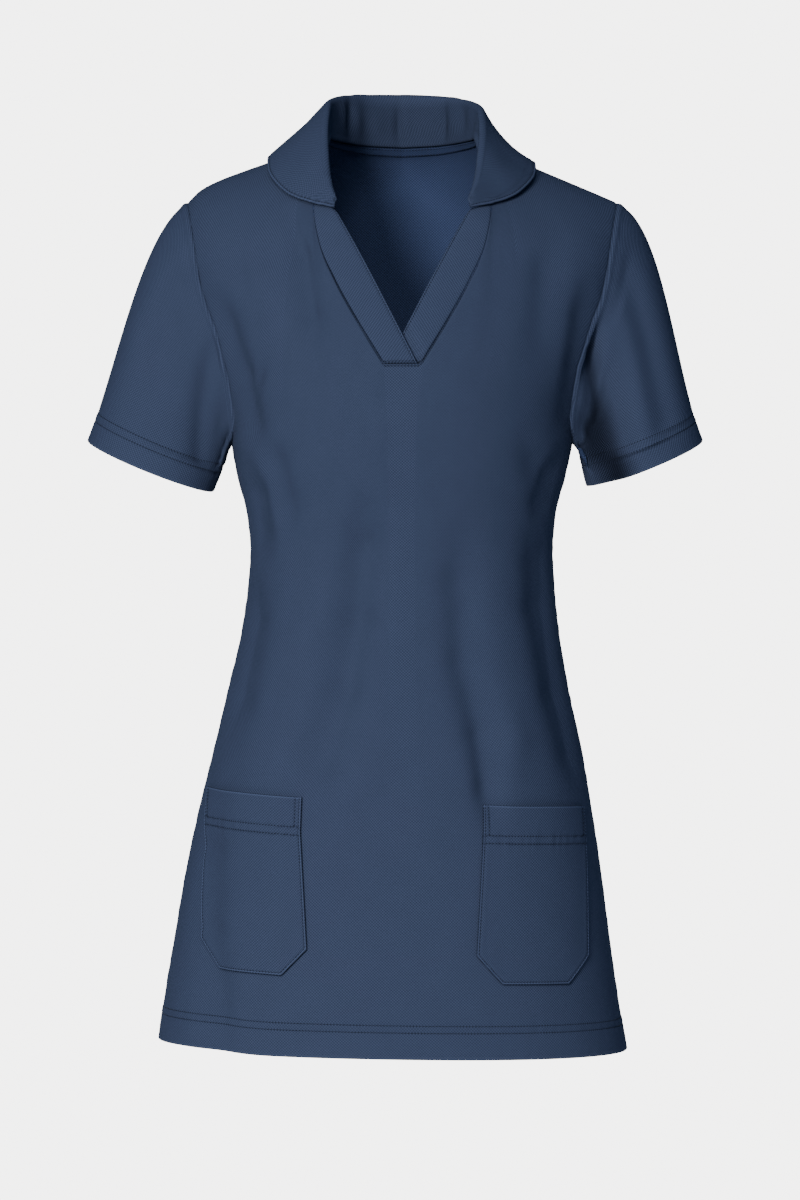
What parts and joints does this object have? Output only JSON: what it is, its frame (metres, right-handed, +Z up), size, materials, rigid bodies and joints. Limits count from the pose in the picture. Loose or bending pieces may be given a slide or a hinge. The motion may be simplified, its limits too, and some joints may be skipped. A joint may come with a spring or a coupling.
{
  "type": "long polo shirt",
  "caption": "Long short-sleeved polo shirt with a rounded turned collar, an open V neck with inset bands that cross, and patch pockets near the hem.",
  "frame": {"origin": "middle of the neck, level with the inner ends of the shoulder seams, where a wearer or a hanger holds the shirt", "axes": "+Z up; the front faces -Y; the wearer's left side is on +X"},
  "size_m": [0.5365, 0.2506, 0.8379],
  "materials": {
    "front": "matte cotton knit",
    "back": "matte cotton knit",
    "sleeve_right": "matte cotton knit",
    "sleeve_left": "matte cotton knit",
    "collar": "matte cotton knit",
    "neck_band_right": "matte cotton knit",
    "neck_band_left": "matte cotton knit",
    "back_neck_tape": "matte cotton knit",
    "pocket_right": "matte cotton knit",
    "pocket_left": "matte cotton knit"
  },
  "bodies": {
    "root": {"front": "front", "back": "back", "sleeve_right": "sleeve_right", "sleeve_left": "sleeve_left", "collar": "collar", "neck_band_right": "neck_band_right", "neck_band_left": "neck_band_left", "back_neck_tape": "back_neck_tape", "pocket_right": "pocket_right", "pocket_left": "pocket_left"}
  },
  "joints": []
}
